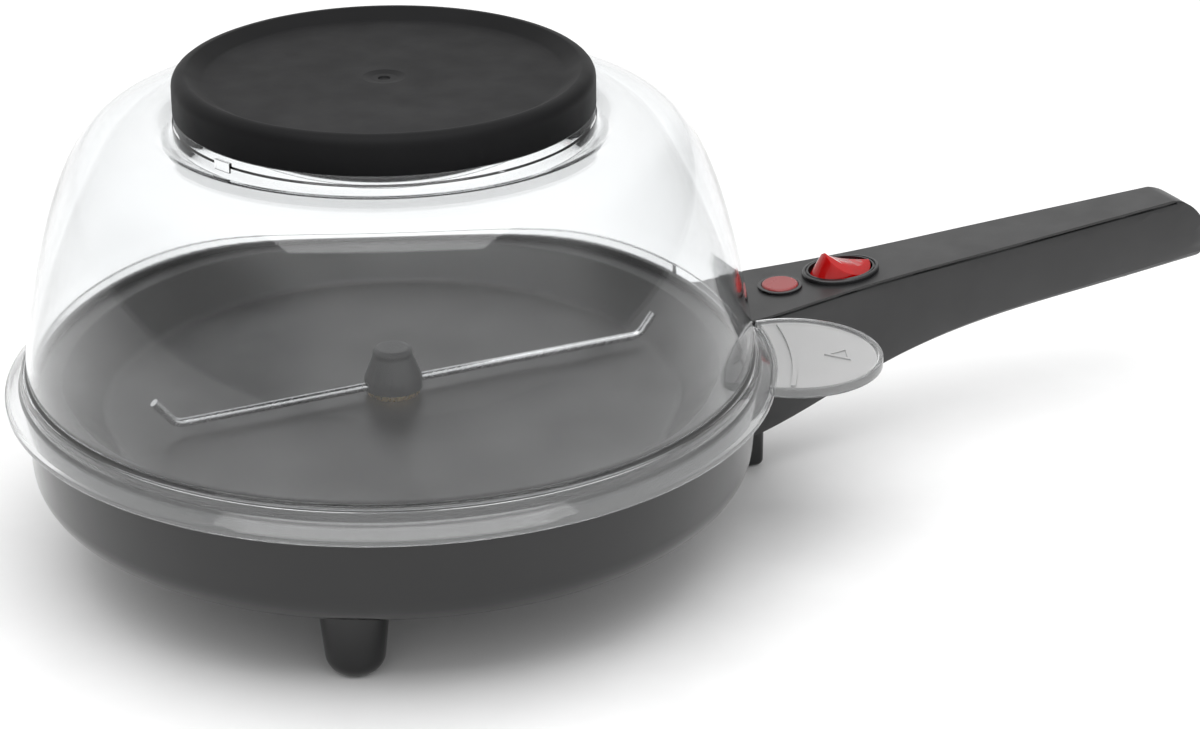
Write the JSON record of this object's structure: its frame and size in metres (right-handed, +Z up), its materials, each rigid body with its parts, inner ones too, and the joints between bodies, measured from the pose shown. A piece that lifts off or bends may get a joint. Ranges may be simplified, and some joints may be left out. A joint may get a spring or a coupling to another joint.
{
  "type": "popcorn maker",
  "caption": "Round electric popcorn maker: heated pan with a stirrer in a black base, clear lift-off dome with a lid, side handle with rocker switch and lamp.",
  "frame": {"origin": "on the floor under the middle of the whole length, midway between dome flange and handle end", "axes": "+X along the handle towards its free end, +Z up"},
  "size_m": [0.5116, 0.29, 0.1896],
  "materials": {
    "housing_black": "glossy",
    "hatch_black": "satin",
    "screw_steel": "satin",
    "foot_black": "glossy",
    "pan_coating": "non-stick coating",
    "bush_brass": "satin",
    "element_steel": "matte",
    "bright_sheet": "satin",
    "motor_steel": "satin",
    "ceramic_white": "matte",
    "nylon_white": "matte",
    "shaft_steel": "satin",
    "hub_black": "satin",
    "dome_clear": "clear plastic",
    "lid_black": "satin",
    "handle_black": "satin",
    "gland_rubber": "matte",
    "trim_black": "satin",
    "lamp_red": "translucent",
    "bulb_glass": "clear",
    "rocker_red": "translucent",
    "wire_sleeve": "satin"
  },
  "bodies": {
    "base": {"base_housing": "housing_black", "bottom_plate": "hatch_black", "hatch_screws": "screw_steel", "feet": "foot_black", "foot_screws": "screw_steel", "pan_screw": "screw_steel", "heating_pan": "pan_coating", "shaft_bush": "bush_brass", "bush_nut": "screw_steel", "heating_element": "element_steel", "element_clamps": "bright_sheet", "heat_shield": "bright_sheet", "shield_posts": "screw_steel", "shield_screws": "screw_steel", "gear_motor": "motor_steel", "motor_screws": "screw_steel", "thermostat": "ceramic_white", "thermal_fuse": "bright_sheet", "terminal_block": "nylon_white", "handle_upper_cover": "handle_black", "handle_lower_cover": "handle_black", "cover_screws": "screw_steel", "handle_screws": "screw_steel", "handle_foot": "foot_black", "cord_gland": "gland_rubber", "lamp_bezel": "trim_black", "lamp_lens": "lamp_red", "lamp_bulb": "bulb_glass", "switch_bezel": "trim_black", "switch_body": "hub_black", "wires_handle": "wire_sleeve", "wires_heater": "wire_sleeve"},
    "shaft": {"drive_shaft": "shaft_steel"},
    "stirrer": {"stirrer_hub": "hub_black", "stirrer_arms": "shaft_steel"},
    "dome": {"dome": "dome_clear"},
    "lid": {"dome_lid": "lid_black"},
    "rocker": {"rocker": "rocker_red"}
  },
  "joints": [
    {"name": "dome_lift", "type": "slide", "parent": "base", "child": "dome", "axis": [0, 0, 1], "range_m": [0, 0.15]},
    {"name": "lid_lift", "type": "slide", "parent": "dome", "child": "lid", "axis": [0, 0, 1], "range_m": [0, 0.06]},
    {"name": "shaft_spin", "type": "hinge", "parent": "base", "child": "shaft", "pos_m": [-0.11085, 0, 0.06], "axis": [0, 0, 1], "continuous": true},
    {"name": "stirrer_lift", "type": "slide", "parent": "shaft", "child": "stirrer", "axis": [0, 0, 1], "range_m": [0, 0.06]},
    {"name": "rocker_tilt", "type": "hinge", "parent": "base", "child": "rocker", "pos_m": [0.08279, 0, 0.07225], "axis": [0, 1, 0], "range_deg": [-40, 0]}
  ]
}
